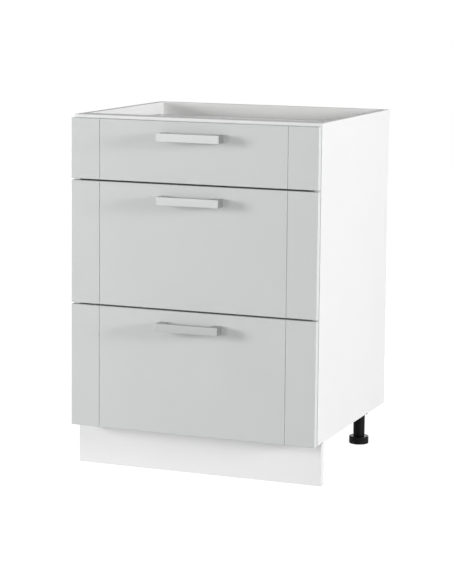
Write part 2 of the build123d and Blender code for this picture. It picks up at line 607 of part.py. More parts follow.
# Screws of the carcass: runners and plinth clips
with BuildPart() as carcass_screws:
    for name, front_bottom, front_height, side_height in DRAWERS:
        add_screws(runner_screw_points(front_bottom, RUNNER_STEEL), LEFT)
    mirror(about=Plane.YZ)
    add_screws(clip_screw_points(PLINTH_REAR_Y + CLIP_WALL), BACKWARD)
save(carcass_screws, "carcass_screws")

# Drawers
for name, front_bottom, front_height, side_height in DRAWERS:
    box_bottom = front_bottom + DRAWER_LIFT
    floor_underside = box_bottom + DRAWER_BOTTOM_RISE
    side_middle_x = DRAWER_HALF - BOARD / 2
    dowel_heights = drawer_dowel_heights(front_bottom, side_height)
    front_dowels = [(side_middle_x, FRONT_REAR_Y, z) for z in dowel_heights]
    back_dowels = [(DRAWER_INNER_HALF, DRAWER_BACK_Y, z) for z in dowel_heights]

    # Front: soft edges, two upright grooves on its face, a groove for the bottom on its rear
    with BuildPart() as drawer_front:
        with BuildSketch(Plane.XY.offset(front_bottom)):
            with Locations((0, FRONT_FACE_Y)):
                Rectangle(FRONT_WIDTH, BOARD, align=(Align.CENTER, Align.MIN))
        extrude(amount=front_height)
        chamfer(drawer_front.edges().group_by(Axis.Y)[0], EDGE_CHAMFER)
        with BuildSketch(Plane.XY.offset(front_bottom)):
            line_x = FRONT_WIDTH / 2 - GROOVE_LINE_INSET
            with Locations((-line_x, FRONT_FACE_Y), (line_x, FRONT_FACE_Y)):
                Polygon(
                    (-GROOVE_LINE_WIDTH / 2, 0),
                    (GROOVE_LINE_WIDTH / 2, 0),
                    (0, GROOVE_LINE_DEPTH),
                    align=None,
                )
        extrude(amount=front_height, mode=Mode.SUBTRACT)
        with BuildSketch(Plane.XY.offset(floor_underside - GROOVE_CLEARANCE)):
            with Locations((0, FRONT_REAR_Y)):
                groove_length = 2 * (DRAWER_INNER_HALF + GROOVE_DEPTH)
                Rectangle(groove_length, GROOVE_DEPTH, align=(Align.CENTER, Align.MAX))
        extrude(amount=GROOVE_WIDTH, mode=Mode.SUBTRACT)
        dowel_bores = [(sign * x, y, z) for sign in (-1, 1) for x, y, z in front_dowels]
        drill(dowel_bores, BACKWARD, DOWEL_DIAMETER, DOWEL_IN_FACE + BORE_END_PLAY)
        screw_points = handle_points(front_bottom, front_height, FRONT_REAR_Y)
        drill(screw_points, BACKWARD, HANDLE_SCREW + 2 * HANDLE_SCREW_CLEARANCE, BOARD)
    save(drawer_front, f"{name}_drawer_front")

    # Handle: a flat bow with rounded corners, tapped for two screws from behind
    with BuildPart() as handle:
        handle_foot = front_bottom + front_height - HANDLE_DROP - HANDLE_HEIGHT / 2
        with BuildSketch(Plane.XY.offset(handle_foot)) as bow:
            with Locations((0, FRONT_FACE_Y)):
                Rectangle(HANDLE_LENGTH, HANDLE_PROJECTION, align=(Align.CENTER, Align.MAX))
                Rectangle(
                    HANDLE_LENGTH - 2 * HANDLE_LEG,
                    HANDLE_PROJECTION - HANDLE_BAR,
                    align=(Align.CENTER, Align.MAX),
                    mode=Mode.SUBTRACT,
                )
            fillet(bow.vertices().group_by(Axis.Y)[1], HANDLE_INNER_RADIUS)
            fillet(bow.vertices().group_by(Axis.Y)[0], HANDLE_OUTER_RADIUS)
        extrude(amount=HANDLE_HEIGHT)
        screw_points = handle_points(front_bottom, front_height, FRONT_FACE_Y)
        tapped_bore = HANDLE_SCREW + 2 * SCREW_CLEARANCE
        drill(screw_points, BACKWARD, tapped_bore, HANDLE_SCREW_REACH + BORE_END_PLAY)
    save(handle, f"{name}_drawer_handle")

    # Screws of the drawer: two hold the handle, four hold the runners
    with BuildPart() as drawer_screws:
        add_screws(seat_screw_points(front_bottom, RUNNER_STEEL), DOWN)
        mirror(about=Plane.YZ)
        screw_points = handle_points(front_bottom, front_height, FRONT_REAR_Y)
        add_prisms(screw_points, BACKWARD, HANDLE_SCREW_HEAD, HANDLE_SCREW_HEAD_HEIGHT)
        add_prisms(screw_points, FORWARD, HANDLE_SCREW, BOARD + HANDLE_SCREW_REACH)
    save(drawer_screws, f"{name}_drawer_screws")

    # Sides: grooved for the bottom and seated in the runners
    with BuildPart() as drawer_side:
        with BuildSketch(Plane.XY.offset(box_bottom)):
            with Locations((side_middle_x, FRONT_REAR_Y)):
                Rectangle(BOARD, DRAWER_LENGTH, align=(Align.CENTER, Align.MIN))
        extrude(amount=side_height)
        chamfer(drawer_side.edges().filter_by(Axis.Y).group_by(Axis.Z)[-1], EDGE_CHAMFER)
        with BuildSketch(Plane.XY.offset(floor_underside - GROOVE_CLEARANCE)):
            with Locations((DRAWER_INNER_HALF, FRONT_REAR_Y)):
                Rectangle(GROOVE_DEPTH, DRAWER_LENGTH, align=(Align.MIN, Align.MIN))
        extrude(amount=GROOVE_WIDTH, mode=Mode.SUBTRACT)
        drill(front_dowels, FORWARD, DOWEL_DIAMETER, DOWEL_IN_EDGE + BORE_END_PLAY)
        drill(back_dowels, LEFT, DOWEL_DIAMETER, DOWEL_IN_FACE + BORE_END_PLAY)
        screw_points = seat_screw_points(front_bottom, 0)
        drill(screw_points, DOWN, SCREW_BORE, SCREW_LENGTH)
    save_pair(drawer_side, f"{name}_drawer_left_side", f"{name}_drawer_right_side")

    # Back: stands on the bottom, between the sides
    with BuildPart() as drawer_back:
        back_foot = floor_underside + HARDBOARD
        with BuildSketch(Plane.XY.offset(back_foot)):
            with Locations((0, DRAWER_BACK_Y)):
                Rectangle(DRAWER_INNER_HALF, BOARD, align=(Align.MIN, Align.CENTER))
        extrude(amount=box_bottom + side_height - back_foot)
        chamfer(drawer_back.edges().filter_by(Axis.X).group_by(Axis.Z)[-1], EDGE_CHAMFER)
        drill(back_dowels, RIGHT, DOWEL_DIAMETER, DOWEL_IN_EDGE + BORE_END_PLAY)
        mirror(about=Plane.YZ)
    save(drawer_back, f"{name}_drawer_back")

    # Bottom: hardboard in the grooves of the front and sides
    with BuildPart() as drawer_bottom:
        with BuildSketch(Plane.XY.offset(floor_underside)):
            with Locations((0, DRAWER_REAR_Y)):
                Rectangle(
                    2 * (DRAWER_INNER_HALF + GROOVE_DEPTH - GROOVE_CLEARANCE),
                    DRAWER_LENGTH + GROOVE_DEPTH - GROOVE_CLEARANCE,
                    align=(Align.CENTER, Align.MAX),
                )
        extrude(amount=HARDBOARD)
    save(drawer_bottom, f"{name}_drawer_bottom")

    # Dowels in the four corners of the box
    with BuildPart() as drawer_dowels:
        add_dowels(front_dowels, FORWARD)
        add_dowels(back_dowels, RIGHT)
        mirror(about=Plane.YZ)
    save(drawer_dowels, f"{name}_drawer_dowels")
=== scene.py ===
from math import cos, radians, sin, sqrt, tau

import bmesh
import bpy
from mathutils import Matrix, Vector


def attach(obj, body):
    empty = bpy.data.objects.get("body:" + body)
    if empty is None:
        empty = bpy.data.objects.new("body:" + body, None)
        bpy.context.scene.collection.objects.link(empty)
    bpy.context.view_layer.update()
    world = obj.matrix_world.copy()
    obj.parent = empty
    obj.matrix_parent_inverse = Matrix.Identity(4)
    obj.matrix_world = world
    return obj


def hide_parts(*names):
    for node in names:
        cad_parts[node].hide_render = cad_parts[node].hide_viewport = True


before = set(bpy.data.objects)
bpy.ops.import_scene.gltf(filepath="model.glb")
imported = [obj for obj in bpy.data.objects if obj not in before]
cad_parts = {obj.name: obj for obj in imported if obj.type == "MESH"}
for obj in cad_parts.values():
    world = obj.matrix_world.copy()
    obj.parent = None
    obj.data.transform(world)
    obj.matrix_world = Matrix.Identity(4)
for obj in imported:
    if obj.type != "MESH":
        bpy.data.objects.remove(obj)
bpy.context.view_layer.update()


# Side panels, bottom panel and the two rails: the boards of the carcass.
# Chipboard of 16 mm, faced and edged with white melamine, whose pressed pearl surface is satin.
def linear(hex_colour):
    """An sRGB hex colour as linear RGBA."""
    shares = [int(hex_colour[i:i + 2], 16) / 255 for i in (1, 3, 5)]
    return (*[s / 12.92 if s <= 0.04045 else ((s + 0.055) / 1.055) ** 2.4 for s in shares], 1.0)


def add_node(tree, kind, settings=None, inputs=None):
    """Add a node with its settings; an input is a value or the socket that feeds it."""
    node = tree.nodes.new(kind)
    for name, value in (settings or {}).items():
        setattr(node, name, value)
    for name, value in (inputs or {}).items():
        if isinstance(value, bpy.types.NodeSocket):
            tree.links.new(value, node.inputs[name])
        else:
            node.inputs[name].default_value = value
    return node


def start_material(name, **shader_values):
    """A material with its shader's plain values set, and its tree, shader and coordinates."""
    material = bpy.data.materials.new(name)
    material.use_nodes = True
    tree = material.node_tree
    shader = tree.nodes["Principled BSDF"]
    for socket, value in shader_values.items():
        shader.inputs[socket.replace("_", " ").title().replace("Ior", "IOR")].default_value = value
    coordinates = add_node(tree, "ShaderNodeTexCoord")
    return material, tree, shader, coordinates


def dress(material, *nodes):
    """Give CAD nodes a material."""
    for name in nodes:
        for material_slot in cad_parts[name].material_slots:
            material_slot.material = material


MM = 0.001
PEARL = 2.5 * MM  # the real pearl is 0.4 mm; drawn coarser so that it shows
BOARD_DRIFT = 120 * MM  # the slow change of tone across a board

melamine, tree, shader, coordinates = start_material("white_melamine_satin", ior=1.5, specular_ior_level=0.3)
pearl = add_node(tree, "ShaderNodeTexNoise", inputs={
    "Vector": coordinates.outputs["Object"], "Scale": 1 / PEARL, "Detail": 2.0})
cloud = add_node(tree, "ShaderNodeTexNoise", inputs={
    "Vector": coordinates.outputs["Object"], "Scale": 1 / BOARD_DRIFT, "Detail": 1.0})
tint = add_node(tree, "ShaderNodeMix", {"data_type": "RGBA"}, {
    0: cloud.outputs["Fac"], 6: linear("#EFEFEF"), 7: linear("#F2F2F2")})
sheen = add_node(tree, "ShaderNodeMapRange", inputs={
    "Value": pearl.outputs["Fac"], "To Min": 0.58, "To Max": 0.7})
grain = add_node(tree, "ShaderNodeBump", inputs={
    "Height": pearl.outputs["Fac"], "Strength": 0.08, "Distance": 0.2 * MM})
tree.links.new(tint.outputs[2], shader.inputs["Base Color"])
tree.links.new(sheen.outputs["Result"], shader.inputs["Roughness"])
tree.links.new(grain.outputs["Normal"], shader.inputs["Normal"])
dress(melamine, "left_side_panel", "right_side_panel", "bottom_panel", "front_rail", "rear_rail")


# Back panel and drawer bottoms: hardboard of 3 mm, slid into grooves.
# Pressed wood fibre, lacquered white on the side that shows and left brown on the other.
FIBRE = 4.5 * MM  # the real fibres are finer; drawn coarser so that they show
BLOTCH = 60 * MM
SCREEN = 3.0 * MM  # pitch of the wire screen that the raw side is pressed on

hardboard, tree, shader, coordinates = start_material("lacquered_hardboard", ior=1.5, specular_ior_level=0.3)
fibres = add_node(tree, "ShaderNodeTexNoise", inputs={
    "Vector": coordinates.outputs["Object"], "Scale": 1 / FIBRE, "Detail": 4.0, "Roughness": 0.65})
blotches = add_node(tree, "ShaderNodeTexNoise", inputs={
    "Vector": coordinates.outputs["Object"], "Scale": 1 / BLOTCH, "Detail": 2.0})
raw_mix = add_node(tree, "ShaderNodeMath", {"operation": "MULTIPLY_ADD"}, {
    0: blotches.outputs["Fac"], 1: 0.35, 2: fibres.outputs["Fac"]})
raw_spread = add_node(tree, "ShaderNodeMapRange", inputs={
    "Value": raw_mix.outputs[0], "From Min": 0.43, "From Max": 0.93})
raw_colour = add_node(tree, "ShaderNodeMix", {"data_type": "RGBA"}, {
    0: raw_spread.outputs["Result"], 6: linear("#8A6540"), 7: linear("#B48D61")})
facing = add_node(tree, "ShaderNodeSeparateXYZ", inputs={"Vector": coordinates.outputs["Normal"]})
faces_back = add_node(tree, "ShaderNodeMath", {"operation": "GREATER_THAN"}, {
    0: facing.outputs["Y"], 1: 0.5})
faces_down = add_node(tree, "ShaderNodeMath", {"operation": "LESS_THAN"}, {
    0: facing.outputs["Z"], 1: -0.5})
raw_side = add_node(tree, "ShaderNodeMath", {"operation": "MAXIMUM"}, {
    0: faces_back.outputs[0], 1: faces_down.outputs[0]})
lacquer_colour = add_node(tree, "ShaderNodeMix", {"data_type": "RGBA"}, {
    0: fibres.outputs["Fac"], 6: linear("#F3F3F2"), 7: linear("#F7F7F6")})
colour = add_node(tree, "ShaderNodeMix", {"data_type": "RGBA"}, {
    0: raw_side.outputs[0], 6: lacquer_colour.outputs[2], 7: raw_colour.outputs[2]})
dullness = add_node(tree, "ShaderNodeMapRange", inputs={
    "Value": raw_side.outputs[0], "To Min": 0.55, "To Max": 0.8})
mesh_print = add_node(tree, "ShaderNodeTexVoronoi", {"distance": "CHEBYCHEV"}, {
    "Vector": coordinates.outputs["Object"], "Scale": 1 / SCREEN, "Randomness": 0.25})
ripple = add_node(tree, "ShaderNodeMath", {"operation": "MULTIPLY"}, {
    0: fibres.outputs["Fac"], 1: 0.4})
surface_depth = add_node(tree, "ShaderNodeMath", {"operation": "MULTIPLY_ADD"}, {
    0: mesh_print.outputs["Distance"], 1: raw_side.outputs[0], 2: ripple.outputs[0]})
relief = add_node(tree, "ShaderNodeBump", inputs={
    "Height": surface_depth.outputs[0], "Strength": 0.35, "Distance": 0.3 * MM})
tree.links.new(colour.outputs[2], shader.inputs["Base Color"])
tree.links.new(dullness.outputs["Result"], shader.inputs["Roughness"])
tree.links.new(relief.outputs["Normal"], shader.inputs["Normal"])
LEVELS = ("bottom", "middle", "top")
dress(hardboard, "back_panel", *[f"{level}_drawer_bottom" for level in LEVELS])


# Dowels in the corners of the carcass and of the drawer boxes.
# Turned beech of 8 mm, raw, with short dark flecks along the grain.
FLECK = 1.2 * MM

beech, tree, shader, coordinates = start_material("raw_beech", roughness=0.6, ior=1.5)
stretch = add_node(tree, "ShaderNodeMapping", inputs={
    "Vector": coordinates.outputs["Object"], "Scale": (0.25, 0.25, 1.0)})
flecks = add_node(tree, "ShaderNodeTexNoise", inputs={
    "Vector": stretch.outputs["Vector"], "Scale": 1 / FLECK, "Detail": 3.0})
colour = add_node(tree, "ShaderNodeMix", {"data_type": "RGBA"}, {
    0: flecks.outputs["Fac"], 6: linear("#B98A5E"), 7: linear("#DDB78C")})
relief = add_node(tree, "ShaderNodeBump", inputs={
    "Height": flecks.outputs["Fac"], "Strength": 0.2, "Distance": 0.1 * MM})
tree.links.new(colour.outputs[2], shader.inputs["Base Color"])
tree.links.new(relief.outputs["Normal"], shader.inputs["Normal"])
dress(beech, "carcass_dowels", *[f"{level}_drawer_dowels" for level in LEVELS])


# Cam bolts and cam locks: flat-pack fittings that draw the boards together.
# Zinc-plated steel bolts, and zinc die-castings turned with a screwdriver in their cross slot.
def finish_piece(name, shape, material, body, slot, *replaced):
    """Turn a bmesh into a piece that rides on a body, smooth where its faces meet gently."""
    bmesh.ops.recalc_face_normals(shape, faces=shape.faces)
    mesh = bpy.data.meshes.new(name)
    shape.to_mesh(mesh)
    shape.free()
    mesh.materials.append(material)
    mesh.shade_smooth()
    mesh.set_sharp_from_angle(angle=radians(35))
    piece = bpy.data.objects.new(name, mesh)
    bpy.context.scene.collection.objects.link(piece)
    flat_faces = piece.modifiers.new("flat_faces", "WEIGHTED_NORMAL")
    flat_faces.keep_sharp = True
    flat_faces.weight = 100
    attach(piece, body)
    if replaced:
        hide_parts(*replaced)


def facing_place(point, direction):
    """A placing that sets what was built upright at the origin on a point, facing a direction."""
    return Matrix.Translation(point) @ Vector(direction).to_track_quat("Z", "Y").to_matrix().to_4x4()


def add_cross_head(shape, place, radius, height, dome, slot_depth):
    """Add a round head with a cross slot: a square grid drawn into a disc, its cross pressed in."""
    grid = bmesh.ops.create_grid(shape, x_segments=9, y_segments=9, size=1.0)["verts"]
    faces = dict.fromkeys(face for vert in grid for face in vert.link_faces)
    cross = [f for f in faces if min(abs(c) for c in f.calc_center_median()[:2]) < 0.1
             and max(abs(c) for c in f.calc_center_median()[:2]) < 0.6]
    for vert in grid:
        x, y = vert.co.x, vert.co.y
        vert.co.x = radius * x * sqrt(1 - y * y / 2)
        vert.co.y = radius * y * sqrt(1 - x * x / 2)
        share = min(1.0, vert.co.xy.length / radius)
        vert.co.z = height - dome * share * share
    pressed = bmesh.ops.extrude_face_region(shape, geom=cross)["geom"]
    floor_verts = [item for item in pressed if isinstance(item, bmesh.types.BMVert)]
    bmesh.ops.translate(shape, verts=floor_verts, vec=(0, 0, -slot_depth))
    bmesh.ops.delete(shape, geom=cross, context="FACES")
    rim = [edge for vert in grid for edge in vert.link_edges
           if edge.is_boundary and all(end in grid for end in edge.verts)]
    skirt = bmesh.ops.extrude_edge_only(shape, edges=list(dict.fromkeys(rim)))["geom"]
    base = [item for item in skirt if isinstance(item, bmesh.types.BMVert)]
    for vert in base:
        vert.co.z = 0
    bmesh.ops.contextual_create(shape, geom=[e for e in skirt if isinstance(e, bmesh.types.BMEdge)
                                             and all(end in base for end in e.verts)])
    bmesh.ops.transform(shape, matrix=place, verts=grid + floor_verts + base)


SPANGLE = 1.5 * MM

zinc, tree, shader, coordinates = start_material("zinc_plated_steel", metallic=1.0)
spangle = add_node(tree, "ShaderNodeTexVoronoi", inputs={
    "Vector": coordinates.outputs["Object"], "Scale": 1 / SPANGLE})
colour = add_node(tree, "ShaderNodeMix", {"data_type": "RGBA"}, {
    0: spangle.outputs["Distance"], 6: linear("#B9BDC0"), 7: linear("#CFD2D1")})
gloss = add_node(tree, "ShaderNodeMapRange", inputs={
    "Value": spangle.outputs["Distance"], "To Min": 0.28, "To Max": 0.42})
tree.links.new(colour.outputs[2], shader.inputs["Base Color"])
tree.links.new(gloss.outputs["Result"], shader.inputs["Roughness"])
dress(zinc, "cam_bolts")

CAM_RADIUS = 7.2 * MM
CAM_HEIGHT = 12.4 * MM
CAM_SLOT = 1.5 * MM
CAM_X = 260 * MM
CAM_FACES = (  # y, z and the way that each pair faces
    (-37 * MM, 100 * MM, (0, 0, -1)),
    (-193 * MM, 804 * MM, (0, 0, -1)),
    (275 * MM, 745 * MM, (0, 1, 0)),
)
shape = bmesh.new()
for y, z, direction in CAM_FACES:
    for x in (-CAM_X, CAM_X):
        seat = Vector((x, y, z)) - CAM_HEIGHT * Vector(direction)
        add_cross_head(shape, facing_place(seat, direction), CAM_RADIUS, CAM_HEIGHT, 0, CAM_SLOT)
finish_piece("cam_lock_discs", shape, zinc, "carcass", "zinc_steel", "cam_locks")


# Leg sockets: a square plate pressed under each corner, with a ribbed sleeve for the leg.
# Moulded black polypropylene with a fine spark-eroded surface that scatters the light.
def millimetres(*points):
    """Points given in millimetres, in metres."""
    return [tuple(value * MM for value in point) for point in points]


def turned(shape, outline, place, steps=48):
    """Add a turned form: an outline of (radius, height) spun about the upright axis, then placed."""
    known = set(shape.verts)
    points = [shape.verts.new((radius, 0, height)) for radius, height in outline]
    edges = [shape.edges.new(pair) for pair in zip(points, points[1:])]
    bmesh.ops.spin(shape, geom=points + edges, cent=(0, 0, 0), axis=(0, 0, 1), angle=tau, steps=steps,
                   use_merge=True)
    bmesh.ops.remove_doubles(shape, verts=[v for v in shape.verts if v not in known], dist=1e-7)
    bmesh.ops.transform(shape, matrix=place, verts=[v for v in shape.verts if v not in known])


EROSION = 0.9 * MM

polypropylene, tree, shader, coordinates = start_material(
    "black_polypropylene", ior=1.49, specular_ior_level=0.12)
erosion = add_node(tree, "ShaderNodeTexNoise", inputs={
    "Vector": coordinates.outputs["Object"], "Scale": 1 / EROSION, "Detail": 3.0})
colour = add_node(tree, "ShaderNodeMix", {"data_type": "RGBA"}, {
    0: erosion.outputs["Fac"], 6: linear("#060606"), 7: linear("#0E0E0E")})
gloss = add_node(tree, "ShaderNodeMapRange", inputs={
    "Value": erosion.outputs["Fac"], "To Min": 0.5, "To Max": 0.64})
relief = add_node(tree, "ShaderNodeBump", inputs={
    "Height": erosion.outputs["Fac"], "Strength": 0.25, "Distance": 0.15 * MM})
tree.links.new(colour.outputs[2], shader.inputs["Base Color"])
tree.links.new(gloss.outputs["Result"], shader.inputs["Roughness"])
tree.links.new(relief.outputs["Normal"], shader.inputs["Normal"])

LEG_X = 246 * MM
FRONT_LEG_Y = -157 * MM
REAR_LEG_Y = 248 * MM
LEGS = {
    "front_left": (-LEG_X, FRONT_LEG_Y),
    "front_right": (LEG_X, FRONT_LEG_Y),
    "rear_left": (-LEG_X, REAR_LEG_Y),
    "rear_right": (LEG_X, REAR_LEG_Y),
}
PLATE = 50 * MM
PLATE_CORNER = 6 * MM
PLATE_TOP = 100 * MM
PLATE_UNDER = 97 * MM
SLEEVE_OUTLINE = millimetres(
    (14.1, 97), (21.9, 97), (21.2, 74.1), (20.9, 73.6), (20.5, 73.4), (15, 73.4), (14.1, 74.3), (14.1, 97))
RIB = 2.2 * MM
RIB_LENGTH = 10 * MM
RIB_MIDDLE = 24.5 * MM  # from the axis of the leg
RIB_DROP = 16 * MM
RIB_TIP = 1 * MM  # what is left of its drop at the outer end
shape = bmesh.new()
for x, y in LEGS.values():
    plate = bmesh.ops.create_cube(shape, size=1.0, matrix=Matrix.LocRotScale(
        (x, y, (PLATE_TOP + PLATE_UNDER) / 2), None, (PLATE, PLATE, PLATE_TOP - PLATE_UNDER)))["verts"]
    corners = [e for v in plate for e in v.link_edges if e.verts[0].co.xy == e.verts[1].co.xy]
    bmesh.ops.bevel(shape, geom=list(dict.fromkeys(corners)), offset=PLATE_CORNER, affect="EDGES",
                    segments=5, profile=0.5, material=-1)
    turned(shape, SLEEVE_OUTLINE, Matrix.Translation((x, y, 0)))
    for quarter in range(4):
        rib = bmesh.ops.create_cube(shape, size=1.0, matrix=Matrix.LocRotScale(
            (RIB_MIDDLE, 0, PLATE_UNDER - RIB_DROP / 2), None, (RIB_LENGTH, RIB, RIB_DROP)))["verts"]
        for vert in rib:
            if vert.co.x > RIB_MIDDLE and vert.co.z < PLATE_UNDER - RIB_TIP:
                vert.co.z = PLATE_UNDER - RIB_TIP
        turn = Matrix.Rotation(tau * (quarter + 0.5) / 4, 3, "Z")
        bmesh.ops.rotate(shape, verts=rib, cent=(0, 0, 0), matrix=turn)
        bmesh.ops.translate(shape, verts=rib, vec=(x, y, 0))
finish_piece("leg_socket_mouldings", shape, polypropylene, "carcass", "black_plastic", "leg_sockets")


# Leg stems: tubes pushed into the sockets, with a turned collar where the foot screws in.
# Moulded of the same black polypropylene; the bore takes the spindle of the foot.
STEM_OUTLINE = millimetres(
    (7.3, 18.2), (13.1, 18.2), (13.7, 18.6), (14, 19.3), (14, 24), (13.6, 24.4), (13.6, 25.4), (14, 25.8),
    (14, 97), (7.3, 97), (7.3, 18.2))
shape = bmesh.new()
for x, y in LEGS.values():
    turned(shape, STEM_OUTLINE, Matrix.Translation((x, y, 0)))
finish_piece("leg_tubes", shape, polypropylene, "carcass", "black_plastic", "leg_stems")


# Feet: a plain disc on a threaded spindle that screws into the stem.
# One black moulding each; turning it by hand raises or lowers that corner.
FOOT_OUTLINE = millimetres(
    (0, 0), (22.8, 0), (23.5, 0.3), (23.8, 1), (23.8, 17.1), (23.5, 17.8), (22.9, 18), (9, 18), (6.3, 18),
    (6.3, 62.2), (5.6, 63), (0, 63))
THREAD_RIDGE = millimetres((6.2, 19.5), (6.95, 20.4), (6.2, 21.3))
THREAD_PITCH = 3.0 * MM
THREAD_TURNS = 13
THREAD_STEPS = 24
for corner, (x, y) in LEGS.items():
    shape = bmesh.new()
    turned(shape, FOOT_OUTLINE, Matrix.Identity(4))
    ridge = [shape.verts.new((radius, 0, height)) for radius, height in THREAD_RIDGE]
    ridge_edges = [shape.edges.new((ridge[i], ridge[i - 1])) for i in range(3)]
    shape.faces.new(ridge)
    end = bmesh.ops.spin(
        shape, geom=ridge + ridge_edges, cent=(0, 0, 0), axis=(0, 0, 1), angle=tau * THREAD_TURNS,
        dvec=(0, 0, THREAD_PITCH / THREAD_STEPS), steps=THREAD_STEPS * THREAD_TURNS)["geom_last"]
    shape.faces.new([item for item in end if isinstance(item, bmesh.types.BMVert)])
    bmesh.ops.translate(shape, verts=shape.verts, vec=(x, y, 0))
    foot = f"{corner}_foot"
    finish_piece(f"{foot}_moulding", shape, polypropylene, foot, "black_plastic", foot)


# Plinth: a white melamine board set back under the fronts, and the clips that hold it.
# The clips are black mouldings screwed to its rear that snap round the front legs.
dress(melamine, "plinth_board")
dress(polypropylene, "plinth_clips")


# Runners: the cabinet halves and the drawer halves, bent from 1.2 mm steel strip.
# White epoxy powder coat, whose flow leaves a slight orange peel.
PEEL = 1.8 * MM

powder_coat, tree, shader, coordinates = start_material("white_powder_coat", roughness=0.4, ior=1.5)
peel = add_node(tree, "ShaderNodeTexNoise", inputs={
    "Vector": coordinates.outputs["Object"], "Scale": 1 / PEEL, "Detail": 1.0})
colour = add_node(tree, "ShaderNodeMix", {"data_type": "RGBA"}, {
    0: peel.outputs["Fac"], 6: linear("#DCDDDA"), 7: linear("#E2E3E0")})
relief = add_node(tree, "ShaderNodeBump", inputs={
    "Height": peel.outputs["Fac"], "Strength": 0.15, "Distance": 0.2 * MM})
tree.links.new(colour.outputs[2], shader.inputs["Base Color"])
tree.links.new(relief.outputs["Normal"], shader.inputs["Normal"])
for level in LEVELS:
    dress(powder_coat, *[f"{level}_{hand}_cabinet_runner" for hand in ("left", "right")])
    dress(powder_coat, *[f"{level}_drawer_{hand}_runner" for hand in ("left", "right")])


# Screws of the carcass: two in each cabinet runner and two in each plinth clip.
# Zinc-plated board screws with a low pan head and a cross slot.
SCREW_SHANK = 1.45 * MM
SCREW_POINT = 0.58 * MM
SCREW_LENGTH = 13 * MM
SCREW_HEAD = 2.8 * MM
SCREW_HEAD_HEIGHT = 1.5 * MM
SCREW_DOME = 0.7 * MM
SCREW_SLOT = 0.7 * MM
SHANK_SIDES = 12


def add_board_screw(shape, point, direction):
    """Add a pan-head screw whose head sits on a point and faces a direction."""
    place = facing_place(point, direction)
    add_cross_head(shape, place, SCREW_HEAD, SCREW_HEAD_HEIGHT, SCREW_DOME, SCREW_SLOT)
    shank = place @ Matrix.Translation((0, 0, -SCREW_LENGTH / 2))
    bmesh.ops.create_cone(shape, cap_ends=True, segments=SHANK_SIDES, radius1=SCREW_POINT,
                          radius2=SCREW_SHANK, depth=SCREW_LENGTH, matrix=shank)


FRONT_BOTTOMS = {"bottom": 99 * MM, "middle": 386.5 * MM, "top": 674 * MM}
FRONT_HEIGHTS = {"bottom": 283.5 * MM, "middle": 283.5 * MM, "top": 139 * MM}
BOX_LIFT = 30 * MM
AXLE_RISE = 8.3 * MM
AXLE_HEIGHTS = {level: bottom + BOX_LIFT + AXLE_RISE for level, bottom in FRONT_BOTTOMS.items()}
RUNNER_FACE_X = 282.8 * MM
RUNNER_SCREW_Y = (-190 * MM, 66 * MM)
CLIP_FACE_Y = -180 * MM
CLIP_SCREW_Z = 53 * MM
CLIP_SCREW_STEP = 16 * MM
shape = bmesh.new()
for level in LEVELS:
    for y in RUNNER_SCREW_Y:
        add_board_screw(shape, (RUNNER_FACE_X, y, AXLE_HEIGHTS[level]), (-1, 0, 0))
        add_board_screw(shape, (-RUNNER_FACE_X, y, AXLE_HEIGHTS[level]), (1, 0, 0))
for leg in (-LEG_X, LEG_X):
    for step in (-CLIP_SCREW_STEP, CLIP_SCREW_STEP):
        add_board_screw(shape, (leg + step, CLIP_FACE_Y, CLIP_SCREW_Z), (0, 1, 0))
finish_piece("carcass_pan_head_screws", shape, zinc, "carcass", "zinc_steel", "carcass_screws")


# Drawer boxes: sides and back of white melamine board, dowelled, over the hardboard bottom.
# The same finish as the carcass.
for level in LEVELS:
    dress(melamine, f"{level}_drawer_left_side", f"{level}_drawer_right_side", f"{level}_drawer_back")


# Rollers: a pair at the front of each cabinet runner and a pair at the rear of each drawer.
# Moulded nylon wheels with a hub, a thin web and a smooth tread, staked on steel axles.
FLOW_LINE = 4 * MM

nylon, tree, shader, coordinates = start_material("natural_nylon", ior=1.53)
flow = add_node(tree, "ShaderNodeTexNoise", inputs={
    "Vector": coordinates.outputs["Object"], "Scale": 1 / FLOW_LINE, "Detail": 2.0})
colour = add_node(tree, "ShaderNodeMix", {"data_type": "RGBA"}, {
    0: flow.outputs["Fac"], 6: linear("#DEDBD0"), 7: linear("#E9E7DF")})
gloss = add_node(tree, "ShaderNodeMapRange", inputs={
    "Value": flow.outputs["Fac"], "To Min": 0.28, "To Max": 0.42})
relief = add_node(tree, "ShaderNodeBump", inputs={
    "Height": flow.outputs["Fac"], "Strength": 0.08, "Distance": 0.1 * MM})
tree.links.new(colour.outputs[2], shader.inputs["Base Color"])
tree.links.new(gloss.outputs["Result"], shader.inputs["Roughness"])
tree.links.new(relief.outputs["Normal"], shader.inputs["Normal"])

ROLLER_INNER_X = 274 * MM
ROLLER_Y = {"front": -211 * MM, "rear": 212 * MM}
WHEEL_OUTLINE = millimetres(
    (2.7, 0), (4.2, 0), (4.5, 0.8), (6.9, 0.8), (7.2, 0), (8.5, 0), (8.95, 0.5), (8.95, 5.5), (8.5, 6),
    (7.2, 6), (6.9, 5.2), (4.5, 5.2), (4.2, 6), (2.7, 6), (2.7, 0))
WHEEL_STEPS = 40
for level in LEVELS:
    for end, y in ROLLER_Y.items():
        shape = bmesh.new()
        for sign in (-1, 1):
            place = facing_place((sign * ROLLER_INNER_X, y, AXLE_HEIGHTS[level]), (sign, 0, 0))
            turned(shape, WHEEL_OUTLINE, place, WHEEL_STEPS)
        pair = f"{level}_{end}_rollers"
        finish_piece(f"{pair}_wheels", shape, nylon, pair, "roller_plastic", pair)


# Drawer fronts: boards with two upright grooves, fixed to the boxes by dowels.
# Pale grey matt lacquer on the face, and white melamine behind. The upright edges are drawn lighter,
# partly a paler edge and partly a painted highlight from the side lights.
SPRAY = 2.0 * MM
LACQUER_DRIFT = 150 * MM  # the slow change of tone across a front

